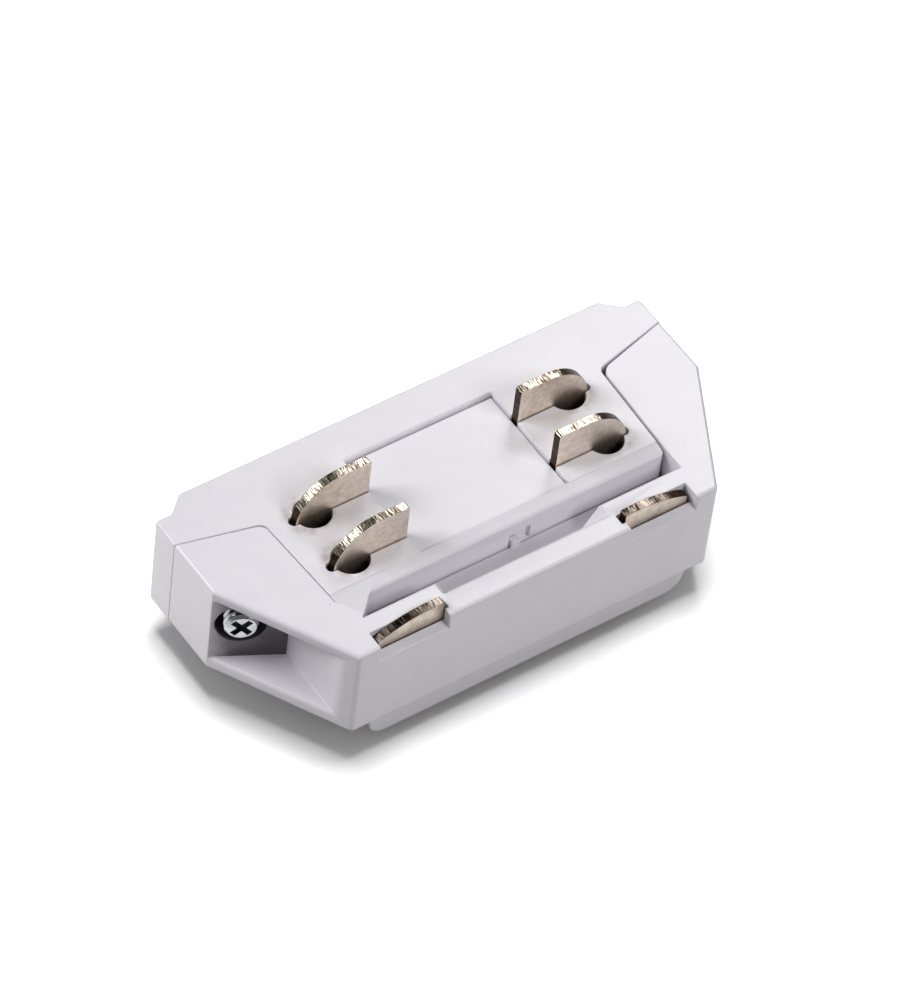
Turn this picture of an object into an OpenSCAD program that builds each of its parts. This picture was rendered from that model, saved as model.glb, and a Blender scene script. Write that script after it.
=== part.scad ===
// Straight connector for three-circuit lighting track: a white moulded contact block with a clip-on
// front shell, four stamped line contacts, one earth contact and two set screws that lock it in the
// track. X runs along the track, Y towards the back of the track, Z through the two contact faces.
// The origin is the middle of the connector's footprint, on the tips of the lower contacts.

/* [Body] */
// Overall length, end to end
body_len = 68; // [56:0.5:84]
// Depth from the back edge to the front face
body_d = 30.6; // [29.6:0.2:38]
// Thickness between the two contact faces
body_h = 13.6; // [13:0.1:18]
// Length of each end of the front shell, from the corner in the seam
shoulder_len = 10.55; // [9:0.05:14]
// How much the block's ends draw in from that corner to its front wall
seam_taper = 0.75; // [0:0.05:1]
// Depth of the flat end face, from the back edge to the start of the long chamfer
end_d = 14.2; // [12:0.1:17]
// Length that the long chamfer takes off each front corner
chamfer_len = 9.1; // [7:0.1:11]
// How far the end tabs sit in front of the back edge
tab_step = 2.1; // [1:0.1:3]
// Length of the end tabs
tab_len = 2.3; // [1:0.1:4]
// Length of the small chamfer between back edge and end tab
tab_chamfer = 2.3; // [1:0.1:4]
// Depth of the block at its very end, where the seam starts
seam_d = 6.2; // [4:0.1:8]
// How much deeper the block is at the inner end of the slanted seam
seam_drop = 2.5; // [1:0.1:4]
// Clearance in the seam between block and shell, on the left
seam_gap = 0.15; // [0.05:0.01:0.3]
// Clearance in the seam on the right, where the shell has shrunk away from the block
seam_gap_right = 0.3; // [0.05:0.01:0.5]
// Radius of the corner in the seam, on the block
seam_r = 1.1; // [0.5:0.1:1.6]
// Radius of the corner in the seam, on the shell
seam_shell_r = 1.7; // [0.6:0.1:2.5]
// Radius of the upright corners at front and end tabs
corner_r = 0.8; // [0.2:0.1:1.5]

/* [Centre cover] */
// Length of each contact pad, from the centre cover to the block's end
pad_len = 13.1; // [12.4:0.05:15]
// Distance from the back edge to the centre cover
cover_back = 5.5; // [3:0.1:8]
// Width of the low lip between centre cover and front wall
lip_w = 1.8; // [1:0.1:3]
// Step from the contact pads down to the lip
lip_step = 0.06; // [0.02:0.01:0.15]
// How much further the lip has sloped down at the front wall
lip_slope = 0.3; // [0.1:0.05:0.4]
// How far the centre cover lies below the contact pads
cover_drop = 0.55; // [0.3:0.05:1]
// Thickness of the centre cover
cover_t = 1.15; // [0.8:0.05:1.5]
// Clearance round the centre cover
cover_gap = 0.1; // [0.05:0.01:0.2]
// Radius of the pegs under the centre cover
peg_r = 0.9; // [0.6:0.05:1.2]
// Length of the pegs under the centre cover
peg_len = 2.4; // [1:0.1:3]
// Distance of each peg from the middle of the cover
peg_x = 3.2; // [1:0.1:4]

/* [Line contacts] */
// Thickness of the contact strip
strip_t = 1.15; // [0.8:0.05:1.5]
// Clearance on each side of a strip in its slot
slot_gap = 0.1; // [0.05:0.01:0.2]
// How far a horn stands out of the contact face
horn_h = 5.1; // [3.5:0.1:6]
// Length of the flat top of a horn
horn_flat = 4.1; // [3:0.1:5]
// Radius of the lead-in at the outer end of a horn
horn_r = 6; // [5:0.1:6.5]
// Radius of the horn's inner top corner
horn_corner_r = 0.35; // [0.1:0.05:1]
// Height of the bar that joins the two horns of a strip
bar_h = 2.2; // [1.5:0.1:2.4]
// How far a line contact can be pressed in
line_travel = 1.2; // [0.6:0.05:1.4]
// Distance from the front wall of the block to the front row of contacts
row_front = 5.1; // [4:0.1:7]
// Distance between the two rows of contacts
row_pitch = 7.8; // [6:0.1:9]
// Radius of the round spring well
well_r = 2.3; // [2.2:0.05:2.8]
// Distance from the inner edge of a horn to the middle of the spring well
well_x = 7.35; // [6:0.05:8]
// Thickness of the web between upper and lower spring wells
web_t = 1; // [0.8:0.1:1.6]

/* [Front rail and earth contact] */
// Width of the groove between block and front rail
groove_w = 4.4; // [4.2:0.1:6]
// Depth of that groove
groove_depth = 4.1; // [3:0.1:4.4]
// Length of the block's nose, which fills the left end of the groove
nose_len = 4.2; // [3.4:0.1:5]
// Distance of the nose's tip from the block's left end
nose_tip = 1.9; // [1.2:0.1:2.4]
// Space between the nose's tip and the pads of the front rail
nose_clear = 0.5; // [0.4:0.05:1.2]
// Distance from the front wall of the block back to the root of the nose
nose_root = 0.75; // [0.4:0.05:1.2]
// Length of the ramps at the middle of the front rail
mid_ramp = 3; // [1:0.1:4]
// Thickness of the front rail between the earth horns
rail_w = 3.2; // [3:0.1:4]
// Thickness of the front rail beside the earth horns
rail_pad_w = 4.9; // [4.4:0.1:5.6]
// Wall in front of the earth contact
rail_wall = 1.2; // [1:0.05:1.4]
// Depth of the notch in the rail in front of each earth horn, at the slot
notch_depth = 1.9; // [1.5:0.05:3]
// How much deeper the notch is at the front face
notch_slope = 0.5; // [0.1:0.05:1]
// How far an earth horn stands out of the front rail
earth_h = 0.9; // [0.6:0.05:1.5]
// Length of an earth horn
earth_len = 8.9; // [7:0.1:9.4]
// Distance from the corner in the seam to the outer end of the earth slot, along the length
earth_end = 1.45; // [1.2:0.05:3]
// Crown radius of the earth horn
earth_crown_r = 16; // [12:0.5:24]
// How far the earth contact can be pressed in
earth_travel = 0.8; // [0.4:0.05:0.85]
// Height of the earth contact's bar
earth_bar_h = 2.6; // [2:0.1:3]
// Level of the underside of the earth contact's bar
earth_bar_z = 5; // [4.6:0.1:5.4]
// Radius of the earth spring well
earth_well_r = 1.25; // [1.15:0.05:1.35]
// Height of the key rail below the shell
key_h = 3; // [2:0.1:3.6]
// Radius of the lower corners of the key rail
key_r = 2.5; // [1:0.1:2.8]
// How far the key rail runs past each end of the earth slot
key_over = 0.3; // [0.1:0.1:1]
// Width of the key rail
key_w = 2.9; // [2.4:0.1:3.2]
// Set-back of the key rail from the front face
key_back = 0.3; // [0:0.1:0.6]

/* [Screw pockets and set screws] */
// Thickness of the roof over the screw pocket
pocket_roof = 1.65; // [1.2:0.05:2.2]
// Thickness of the floor under the screw pocket
pocket_floor = 2; // [1.5:0.05:2.4]
// Width left at the end of the long chamfer, beside the pocket
pocket_lip = 0.1; // [0.1:0.1:2]
// Length left at the front corner, beside the pocket
pocket_pillar = 1.1; // [0.8:0.1:2]
// Angle between the set screw and the depth of the connector
screw_angle = 28; // [24:0.5:30]
// Distance of the screw along the pocket's back wall
screw_off = 3.5; // [3.4:0.1:4.4]
// How far the screws lie above mid-height
screw_rise = 1; // [-1:0.1:1.2]
// Radius of the set screw
screw_r = 2; // [1.5:0.05:2.1]
// How far the screw's head end stands out of its bore
screw_out = 0.6; // [-2:0.1:1.2]
// How far the screw's tip stays inside the back edge
tip_sink = 1.2; // [0.8:0.1:3]
// Radius of the bore that takes the driver
driver_bore_r = 3.05; // [2.4:0.05:3.2]
// Depth of the bore that takes the driver
driver_bore_depth = 4.5; // [3:0.1:6]
// Radial clearance of the screw in block and shell
screw_gap = 0.15; // [0.1:0.01:0.3]
// Radial clearance of the screw in its nut
nut_fit = 0.05; // [0.02:0.01:0.09]
// Width across the flats of the square nut
nut_w = 7; // [5.5:0.1:7.4]
// Thickness of the square nut
nut_t = 3.2; // [2:0.1:3.6]
// Clearance round the square nut
nut_gap = 0.1; // [0.05:0.01:0.2]
// Distance from the back edge to the middle of the nut, along the screw
nut_back = 6.4; // [5.5:0.1:7]

/* [Springs] */
// Outer radius of a line contact's spring
spring_r = 1.9; // [1.5:0.05:2.1]
// Wire diameter of a line contact's spring
wire_d = 0.35; // [0.25:0.01:0.45]
// Turns of a line contact's spring
spring_turns = 2.75; // [2:0.25:3]
// Outer radius of an earth contact's spring
earth_spring_r = 1.1; // [0.9:0.05:1.15]
// Wire diameter of an earth contact's spring
earth_wire_d = 0.3; // [0.2:0.01:0.35]
// Turns of an earth contact's spring
earth_spring_turns = 5.25; // [3:0.25:6]
// Clearance between a spring or a strip and what stops it
rest_gap = 0.03; // [0.02:0.01:0.06]

/* [Catch between block and shell] */
// Distance of the catch from the middle of the connector
catch_x = 2.5; // [2:0.1:6]
// Width of the window in the block's front wall
catch_w = 2.9; // [2.4:0.1:4]
// Width of the catch
hook_w = 1.2; // [0.8:0.1:2]
// Height of the window
catch_h = 2.2; // [1.8:0.1:3]
// Depth of the window
catch_depth = 0.5; // [0.4:0.05:1.2]
// Height of the side ribs that guide the shell onto the block
rib_h = 3; // [2:0.1:4]
// Length of the side ribs
rib_len = 9.3; // [5:0.1:9.5]
// How far the side ribs stand out of the block
rib_out = 0.7; // [0.5:0.05:0.8]
// Clearance between ribs, catch and their seats
clip_gap = 0.1; // [0.05:0.01:0.15]

/* [Hidden] */

$fn = 48;
// Steps that make up a rounded corner of an outline
corner_steps = 5;
// Radius of the corners at the block's nose
nose_r = 0.3;
// Steps of a full circle for the long arcs of the contacts
fine_steps = 96;
// Sides of a spring's wire and rings for each of its turns
wire_sides = 6;
turn_rings = 12;
// Length by which a cut runs past the face that it opens, and one that runs clear of the whole body
over = 1;
reach = 20;
// Overlap of two cuts that meet
lap = 0.01;
// Length of the chute through which a nut is dropped into its seat
nut_chute = 5;
// Share of the nut's width that its turned corners leave as a radius
nut_corner = 0.66;
// Distance from the block's front wall to the side ribs
rib_start = 2;
// Space beyond each end of the earth strip in its slot
earth_play = 0.5;
// Height of the key rail's tongue inside the earth slot
key_tongue_h = 1.2;
TOP = 0;
BOTTOM = 1;
LEFT = 1;
RIGHT = 0;
white = "#e4e2e8";
nickel = "#c9bba9";
steel = "#b9bcc0";

// Places along the length, for the right half
half = body_len / 2;
block_half = half - shoulder_len;
block_front = block_half - seam_taper;
cover_half = block_half - pad_len;
horn_in = cover_half + slot_gap / 2;
horn_out = horn_in + horn_flat + horn_r;
spring_x = horn_in + well_x;
slot_half = horn_out - 2 * slot_gap;
earth_slot_out = block_half - earth_end;
earth_out = earth_slot_out - earth_play;
earth_in = earth_out - earth_len;
earth_slot_in = earth_in - earth_play;
earth_spring_x = (earth_in + earth_out) / 2;
earth_crown_x = earth_in + earth_len / 5;

// Places through the depth; the back edge is 0 and the front face is -body_d
wall_y = -(body_d - groove_w - rail_w);
seam_y = -(seam_d + seam_drop);
cover_front_y = wall_y + lip_w;
pad_y = -(body_d - rail_pad_w);
rail_y = -(body_d - rail_w);
tip_y = pad_y + nose_clear;
row_y = [wall_y + row_front + row_pitch, wall_y + row_front];
slot_w = strip_t + 2 * slot_gap;
earth_y = -(body_d - rail_wall - slot_w / 2);

// Levels of the upper side; the lower side is its mirror image
cover_z = body_h - cover_drop;
bar_top = cover_z - cover_t - rest_gap;
bar_z = bar_top - bar_h;
horn_top = body_h + horn_h;
slot_floor = bar_z - line_travel - slot_gap;
seat_z = (body_h + web_t) / 2;
earth_horn_top = body_h + earth_h;

// Long chamfer, screw pocket and screw axis on the right half
end_corner = [half, -end_d];
front_corner = [half - chamfer_len, -body_d];
chamfer_dir = (front_corner - end_corner) / norm(front_corner - end_corner);
chamfer_out = [-chamfer_dir[1], chamfer_dir[0]];
pocket_start = end_corner + pocket_lip * chamfer_dir;
pocket_x = front_corner[0] + pocket_pillar;
pocket_corner = [pocket_x, pocket_start[1] - (pocket_start[0] - pocket_x) * tan(screw_angle)];
screw_start = pocket_start - screw_off * [cos(screw_angle), sin(screw_angle)];
screw_run = -screw_start[1] / cos(screw_angle);
screw_len = screw_run + screw_out - tip_sink;
nut_run = screw_run - nut_back;

// A corner between three points, drawn as a short arc of the given radius
function unit(v) = v / norm(v);
function corner_arc(a, b, c, r) =
    let (to_a = unit(a - b), to_c = unit(c - b))
    let (half_angle = acos(to_a * to_c) / 2)
    let (centre = b + unit(to_a + to_c) * r / sin(half_angle))
    let (first = b + to_a * r / tan(half_angle) - centre, last = b + to_c * r / tan(half_angle) - centre)
    [for (i = [0 : corner_steps])
        centre + r * unit(first * (corner_steps - i) / corner_steps + last * i / corner_steps)];

// A closed outline with each corner rounded by its own radius; a radius of 0 keeps it sharp
function rounded(points, radii) =
    let (n = len(points))
    [for (i = [0 : n - 1])
        each (radii[i] == 0
            ? [points[i]]
            : corner_arc(points[(i + n - 1) % n], points[i], points[(i + 1) % n], radii[i]))];

// The corner b of a counter-clockwise outline through a, b and c, moved outwards by d
function pushed(a, b, c, d) =
    let (before = unit(b - a), after = unit(c - b))
    let (side = [before[1], -before[0]], next_side = [after[1], -after[0]])
    b + d * (side + next_side) / (1 + side * next_side);

// Root, tip and inner end of the block's nose, moved outwards by the given gap
function nose(gap) =
    let (before = [-block_half, seam_y], root = [-block_front, wall_y + nose_root])
    let (tip = [-block_front + nose_tip, tip_y], end = [-block_front + nose_len, wall_y])
    [pushed(before, root, tip, gap), pushed(root, tip, end, gap), pushed(tip, end, [0, wall_y], gap)];

// The left side of an outline, or its radii, from the right side without its first point
function left_of(points) = [for (i = [len(points) - 1 : -1 : 1]) [-points[i][0], points[i][1]]];
function left_radii(radii) = [for (i = [len(radii) - 1 : -1 : 1]) radii[i]];

// A right half, closed by its own mirror image
function mirrored(points) =
    concat(points, [for (i = [len(points) - 1 : -1 : 0]) [-points[i][0], points[i][1]]]);
function doubled(values) = concat(values, [for (i = [len(values) - 1 : -1 : 0]) values[i]]);

// Centre line of a spring that stands on z = 0
function coil(radius, height, turns) =
    let (rings = round(turns * turn_rings))
    [for (i = [0 : rings])
        let (angle = 360 * turns * i / rings)
        [radius * cos(angle), radius * sin(angle), height * i / rings]];

module placed() {
    translate([0, body_d / 2, horn_h]) children();
}

// Turns a shape of the upper face over to the lower one
module on_face(face) {
    translate([0, 0, face * body_h]) mirror([0, 0, face]) children();
}

module on_side(side) {
    mirror([side, 0, 0]) children();
}

module on_both_sides() {
    for (side = [RIGHT, LEFT]) on_side(side) children();
}

module on_both_faces() {
    for (face = [TOP, BOTTOM]) on_face(face) children();
}

// Stands an outline of length and height up, as a slab of thickness w at depth y
module slab(y, w) {
    translate([0, y + w / 2, 0]) rotate([90, 0, 0]) linear_extrude(height = w) children();
}

// Moves to the right-hand screw, with its head end at z = 0 and its axis along z
module on_screw() {
    translate([screw_start[0], screw_start[1], body_h / 2 + screw_rise])
        rotate([0, 0, screw_angle]) rotate([-90, 0, 0]) children();
}

// Wire swept along a spring's centre line
module wire(points, d) {
    n = len(points);
    ring = [for (i = [0 : n - 1])
        let (ahead = points[min(i + 1, n - 1)] - points[max(i - 1, 0)])
        let (out = unit([points[i][0], points[i][1], 0]))
        let (up = unit(cross(out, ahead)))
        for (k = [0 : wire_sides - 1])
            points[i] + d / 2 * (cos(360 * k / wire_sides) * out + sin(360 * k / wire_sides) * up)];
    sides = [for (i = [0 : n - 2])
        for (k = [0 : wire_sides - 1])
            let (next = (k + 1) % wire_sides)
            each [[i * wire_sides + k, i * wire_sides + next, (i + 1) * wire_sides + next],
                [i * wire_sides + k, (i + 1) * wire_sides + next, (i + 1) * wire_sides + k]]];
    first = [[for (k = [wire_sides - 1 : -1 : 0]) k]];
    last = [[for (k = [0 : wire_sides - 1]) (n - 1) * wire_sides + k]];
    polyhedron(points = ring, faces = concat(sides, first, last));
}

// A spring of the given free space, standing on z = 0
module spring(r, d, turns, space) {
    translate([0, 0, d / 2 + rest_gap])
        wire(coil(r - d / 2, space - d - 2 * rest_gap, turns), d);
}

// Right half of the shell's outline, clear of the block by the given gap
function shell_right(gap) = [[block_front + gap, wall_y - seam_gap], [block_half + gap, seam_y - gap],
    [half, -seam_d - seam_gap / 2], end_corner, front_corner];

module block_outline() {
    right = [[block_front, wall_y], [block_half, seam_y], [half, -seam_d], [half, -tab_step],
        [half - tab_len, -tab_step], [half - tab_len - tab_chamfer, 0]];
    radii = [0, seam_r, 0, corner_r / 2, 0, 0];
    polygon(rounded(concat(right, left_of(right), nose(0)),
        concat(radii, left_radii(radii), [0, nose_r, nose_r])));
}

module shell_outline() {
    radii = [0, seam_shell_r, 0, 0, corner_r, corner_r, 0, 0, seam_r + seam_gap, 0, nose_r, nose_r];
    left = left_of(shell_right(seam_gap));
    polygon(rounded(concat(shell_right(seam_gap_right), left, nose(seam_gap)), radii));
}

// Lip between centre cover and front wall, which slopes down towards the front
module lip_cut() {
    front_y = tip_y - over;
    front_z = body_h - lip_step - lip_slope * (cover_front_y - front_y) / lip_w;
    translate([-half, 0, 0]) rotate([90, 0, 90]) linear_extrude(height = body_len)
        polygon([[cover_front_y, body_h - lip_step], [front_y, front_z], [front_y, body_h + over],
            [cover_front_y, body_h + over]]);
}

// Slots, spring wells and cover seat of one contact face
module contact_face_cuts() {
    translate([-cover_half, cover_front_y, cover_z - cover_t])
        cube([2 * cover_half, -cover_back - cover_front_y, cover_drop + cover_t + over]);
    lip_cut();
    for (y = row_y) {
        slab(y, slot_w) translate([-slot_half, slot_floor])
            square([2 * slot_half, body_h + over - slot_floor]);
        on_both_sides() {
            translate([slot_half, y, slot_floor]) cylinder(r = slot_w / 2, h = body_h);
            translate([spring_x, y, seat_z]) cylinder(r = well_r, h = body_h);
        }
    }
    on_both_sides() translate([peg_x, (row_y[0] + row_y[1]) / 2, cover_z - cover_t - peg_len - clip_gap])
        cylinder(r = peg_r + clip_gap / 2, h = body_h);
}

// Window in the front wall that takes the shell's catch
module catch_window() {
    translate([catch_x - catch_w / 2, wall_y - over, body_h - groove_depth])
        cube([catch_w, catch_depth + over, catch_h]);
}

module contact_block() {
    color(white) placed() difference() {
        union() {
            linear_extrude(height = body_h) block_outline();
            on_both_sides() translate([block_half - over, wall_y + rib_start, (body_h - rib_h) / 2])
                cube([rib_out + over, rib_len, rib_h]);
        }
        on_both_faces() contact_face_cuts();
        on_both_faces() catch_window();
        on_both_sides() on_screw() {
            cylinder(r = screw_r + screw_gap, h = screw_run + reach);
            translate([-nut_w / 2 - nut_gap, -nut_w / 2 - nut_gap, nut_run - nut_t / 2 - nut_chute])
                cube([nut_w + 2 * nut_gap, nut_w + 2 * nut_gap, nut_t + nut_chute + nut_gap]);
        }
    }
}

// Groove between block and front rail; the block's nose fills its left end
module groove_cut() {
    floor_z = body_h - groove_depth;
    mid_half = earth_slot_in - earth_play;
    right_x = block_front + seam_gap_right;
    tip = nose(0)[1];
    end = nose(0)[2];
    at_pad = end + (tip - end) * (pad_y - end[1]) / (tip[1] - end[1]);
    translate([0, 0, floor_z]) linear_extrude(height = groove_depth + over)
        polygon([[end[0], wall_y + over], end, at_pad, [right_x, pad_y], [right_x, wall_y + over]]);
    slab((pad_y + rail_y) / 2, pad_y - rail_y + lap)
        polygon(mirrored([[mid_half - mid_ramp, floor_z], [mid_half, body_h], [mid_half, body_h + over]]));
}

module screw_pocket() {
    translate([0, 0, pocket_floor]) linear_extrude(height = body_h - pocket_floor - pocket_roof)
        polygon([pocket_start, pocket_corner, [pocket_x, -body_d - reach], [half + reach, -body_d - reach],
            pocket_start + reach * chamfer_out]);
}

// Catch that stands on the groove's floor; its hook reaches into the block's window
module shell_catch() {
    floor_z = body_h - groove_depth;
    translate([catch_x - catch_w / 2 + clip_gap, wall_y - catch_depth, floor_z]) {
        translate([0, 0, -over]) cube([hook_w, catch_depth - seam_gap, catch_h / 2 + over]);
        translate([0, 0, clip_gap]) cube([hook_w, 2 * catch_depth - clip_gap, catch_h / 2 - clip_gap]);
    }
}

// Notch from the earth slot through to the front face, with a floor that slopes outwards
module earth_notch() {
    slot_front = body_d - rail_wall;
    translate([earth_in, 0, 0]) rotate([90, 0, 90]) linear_extrude(height = earth_slot_out - earth_in)
        polygon([[earth_y, body_h - notch_depth], [-slot_front, body_h - notch_depth],
            [-body_d, body_h - notch_depth - notch_slope],
            [-body_d - over, body_h - notch_depth - notch_slope], [-body_d - over, body_h + over],
            [earth_y, body_h + over]]);
}

module earth_slots() {
    slab(earth_y, slot_w) {
        translate([-earth_slot_out, -over])
            square([2 * earth_slot_out, earth_bar_z + earth_bar_h + rest_gap + over]);
        on_both_sides() translate([earth_slot_in, 0])
            square([earth_slot_out - earth_slot_in, body_h + over]);
    }
    on_both_sides() {
        earth_notch();
        translate([earth_spring_x, earth_y, -over]) cylinder(r = earth_well_r, h = earth_bar_z + over);
    }
}

module front_shell() {
    color(white) placed() difference() {
        union() {
            difference() {
                linear_extrude(height = body_h) shell_outline();
                on_both_faces() groove_cut();
            }
            on_both_faces() shell_catch();
        }
        earth_slots();
        on_both_sides() {
            screw_pocket();
            on_screw() cylinder(r = driver_bore_r, h = driver_bore_depth);
            on_screw() cylinder(r = screw_r + screw_gap, h = screw_run);
            translate([block_half - over, wall_y - over, (body_h - rib_h) / 2 - clip_gap])
                cube([rib_out + clip_gap + over, body_d, rib_h + 2 * clip_gap]);
        }
    }
}

module cover() {
    translate([-cover_half + cover_gap, cover_front_y + cover_gap, cover_z - cover_t])
        cube([2 * (cover_half - cover_gap), -cover_back - cover_front_y - 2 * cover_gap, cover_t]);
    on_both_sides() translate([peg_x, (row_y[0] + row_y[1]) / 2, cover_z - cover_t - peg_len])
        cylinder(r = peg_r, h = peg_len + cover_t / 2);
}

module top_cover() {
    color(white) placed() on_face(TOP) cover();
}

module bottom_cover() {
    color(white) placed() on_face(BOTTOM) cover();
}

// Rail under the front edge that closes the earth slot, stops the earth contact at the end of its
// travel and keys the connector in the track
module key_rail() {
    color(white) placed() {
        key_half = earth_slot_out + key_over;
        slab(-(body_d - key_back - key_w / 2), key_w)
            polygon(rounded(mirrored([[key_half, 0], [key_half, -key_h]]), doubled([0, key_r])));
        slab(earth_y, slot_w - slot_gap) {
            translate([-earth_slot_out + slot_gap, -over])
                square([2 * (earth_slot_out - slot_gap), key_tongue_h + over]);
            translate([-earth_slot_in, -over])
                square([2 * earth_slot_in, earth_bar_z - earth_travel - slot_gap + over]);
        }
        on_both_sides() translate([earth_spring_x, earth_y, -over])
            cylinder(r = earth_well_r - slot_gap / 2, h = key_tongue_h + over);
    }
}

// One stamped strip: a bar with a horn at each end
module strip_profile() {
    translate([-horn_out, bar_z]) square([2 * horn_out, bar_h]);
    on_both_sides() {
        translate([horn_in, bar_z]) square([horn_flat + horn_r, horn_top - horn_r - bar_z]);
        translate([horn_in, bar_z]) square([horn_flat, horn_top - horn_corner_r - bar_z]);
        translate([horn_in + horn_corner_r, bar_z]) square([horn_flat - horn_corner_r, horn_top - bar_z]);
        translate([horn_in + horn_corner_r, horn_top - horn_corner_r]) circle(r = horn_corner_r);
        translate([horn_in + horn_flat, horn_top - horn_r]) intersection() {
            circle(r = horn_r, $fn = fine_steps);
            square([horn_r, horn_r]);
        }
    }
}

module line_contact(face, row) {
    color(nickel) placed() on_face(face) slab(row_y[row], strip_t) strip_profile();
}

module contact_top_back() {
    line_contact(TOP, 0);
}

module contact_top_front() {
    line_contact(TOP, 1);
}

module contact_bottom_back() {
    line_contact(BOTTOM, 0);
}

module contact_bottom_front() {
    line_contact(BOTTOM, 1);
}

// The earth strip has low crowned horns, at the front rail only
module earth_contact() {
    color(nickel) placed() slab(earth_y, strip_t) {
        translate([-earth_out, earth_bar_z]) square([2 * earth_out, earth_bar_h]);
        on_both_sides() intersection() {
            translate([earth_in, earth_bar_z]) square([earth_len, earth_horn_top]);
            translate([earth_crown_x, earth_horn_top - earth_crown_r])
                circle(r = earth_crown_r, $fn = fine_steps);
        }
    }
}

module line_spring(face, row, side) {
    color(steel) placed() on_face(face) on_side(side) translate([spring_x, row_y[row], seat_z])
        spring(spring_r, wire_d, spring_turns, bar_z - seat_z);
}

module spring_top_back_left() {
    line_spring(TOP, 0, LEFT);
}

module spring_top_back_right() {
    line_spring(TOP, 0, RIGHT);
}

module spring_top_front_left() {
    line_spring(TOP, 1, LEFT);
}

module spring_top_front_right() {
    line_spring(TOP, 1, RIGHT);
}

module spring_bottom_back_left() {
    line_spring(BOTTOM, 0, LEFT);
}

module spring_bottom_back_right() {
    line_spring(BOTTOM, 0, RIGHT);
}

module spring_bottom_front_left() {
    line_spring(BOTTOM, 1, LEFT);
}

module spring_bottom_front_right() {
    line_spring(BOTTOM, 1, RIGHT);
}

module earth_spring(side) {
    color(steel) placed() on_side(side) translate([earth_spring_x, earth_y, key_tongue_h])
        spring(earth_spring_r, earth_wire_d, earth_spring_turns, earth_bar_z - key_tongue_h);
}

module earth_spring_left() {
    earth_spring(LEFT);
}

module earth_spring_right() {
    earth_spring(RIGHT);
}

// Square nut with its sharp corners turned off
module nut(side) {
    color(steel) placed() on_side(side) on_screw() translate([0, 0, nut_run - nut_t / 2]) difference() {
        intersection() {
            translate([-nut_w / 2, -nut_w / 2, 0]) cube([nut_w, nut_w, nut_t]);
            cylinder(r = nut_corner * nut_w, h = nut_t);
        }
        translate([0, 0, -over]) cylinder(r = screw_r + nut_fit, h = nut_t + 2 * over);
    }
}

module nut_left() {
    nut(LEFT);
}

module nut_right() {
    nut(RIGHT);
}

// Set screw with a cross slot in its head end and a coned tip
module set_screw(side) {
    edge = 0.3;
    tip = 0.8;
    slot_t = 0.8;
    slot_l = 2.9;
    slot_depth = 1.5;
    color(steel) placed() on_side(side) on_screw() translate([0, 0, -screw_out]) difference() {
        rotate_extrude() polygon([[0, 0], [screw_r - edge, 0], [screw_r, edge], [screw_r, screw_len - tip],
            [screw_r - tip, screw_len], [0, screw_len]]);
        for (turn = [0, 90]) rotate([0, 0, turn]) translate([-slot_l / 2, -slot_t / 2, -over])
            cube([slot_l, slot_t, slot_depth + over]);
    }
}

module screw_left() {
    set_screw(LEFT);
}

module screw_right() {
    set_screw(RIGHT);
}

contact_block();
front_shell();
top_cover();
bottom_cover();
key_rail();
contact_top_back();
contact_top_front();
contact_bottom_back();
contact_bottom_front();
earth_contact();
spring_top_back_left();
spring_top_back_right();
spring_top_front_left();
spring_top_front_right();
spring_bottom_back_left();
spring_bottom_back_right();
spring_bottom_front_left();
spring_bottom_front_right();
earth_spring_left();
earth_spring_right();
nut_left();
nut_right();
screw_left();
screw_right();
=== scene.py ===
"""Looks of a straight connector for three-circuit lighting track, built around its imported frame.

The moulded parts and the stamped contacts are finished copies of the frame's own nodes. The springs, the
set screws and the square nuts are modelled again with real coils and threads. Sizes are in millimetres.
"""

import logging
import math
from dataclasses import dataclass, field
from enum import Enum
from typing import Callable

import bpy
from mathutils import Matrix, Vector


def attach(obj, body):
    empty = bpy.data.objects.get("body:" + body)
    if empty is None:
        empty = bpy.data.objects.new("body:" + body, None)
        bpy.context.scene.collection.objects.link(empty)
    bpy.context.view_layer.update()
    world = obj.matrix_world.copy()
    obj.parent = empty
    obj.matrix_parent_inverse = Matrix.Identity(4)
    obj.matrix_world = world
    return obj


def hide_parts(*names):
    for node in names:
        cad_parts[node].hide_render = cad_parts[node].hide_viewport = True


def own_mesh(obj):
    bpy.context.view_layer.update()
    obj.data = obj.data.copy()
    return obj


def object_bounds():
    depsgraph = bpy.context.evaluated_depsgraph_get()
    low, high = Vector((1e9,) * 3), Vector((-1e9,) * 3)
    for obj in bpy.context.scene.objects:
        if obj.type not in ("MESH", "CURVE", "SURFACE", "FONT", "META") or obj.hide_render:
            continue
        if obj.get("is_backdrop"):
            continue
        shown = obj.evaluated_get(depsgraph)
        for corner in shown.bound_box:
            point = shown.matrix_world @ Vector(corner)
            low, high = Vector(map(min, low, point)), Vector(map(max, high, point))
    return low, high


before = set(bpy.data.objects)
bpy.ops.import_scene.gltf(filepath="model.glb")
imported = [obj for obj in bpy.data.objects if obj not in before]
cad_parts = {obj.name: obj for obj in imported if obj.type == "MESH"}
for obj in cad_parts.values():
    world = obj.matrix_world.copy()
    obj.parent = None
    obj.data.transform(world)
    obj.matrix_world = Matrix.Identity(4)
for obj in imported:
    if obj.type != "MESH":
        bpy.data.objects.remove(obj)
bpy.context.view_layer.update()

MM = 0.001

# Driving sizes of the connector, as in the part's source, in the frame that has the back edge at +Y
HALF_LENGTH = 34.0
HALF_DEPTH = 15.3
LEVEL_LOW = 5.1
LEVEL_HIGH = 18.7
END_DEPTH = 14.2
CHAMFER = 9.1
WELL_X = 17.75
WELL_RADIUS = 2.3
SCREW_ANGLE = math.radians(28)
# Where the axis of the right-hand set screw meets the back wall of its pocket
SCREW_START = (30.861, -0.631, 12.9)
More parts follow.
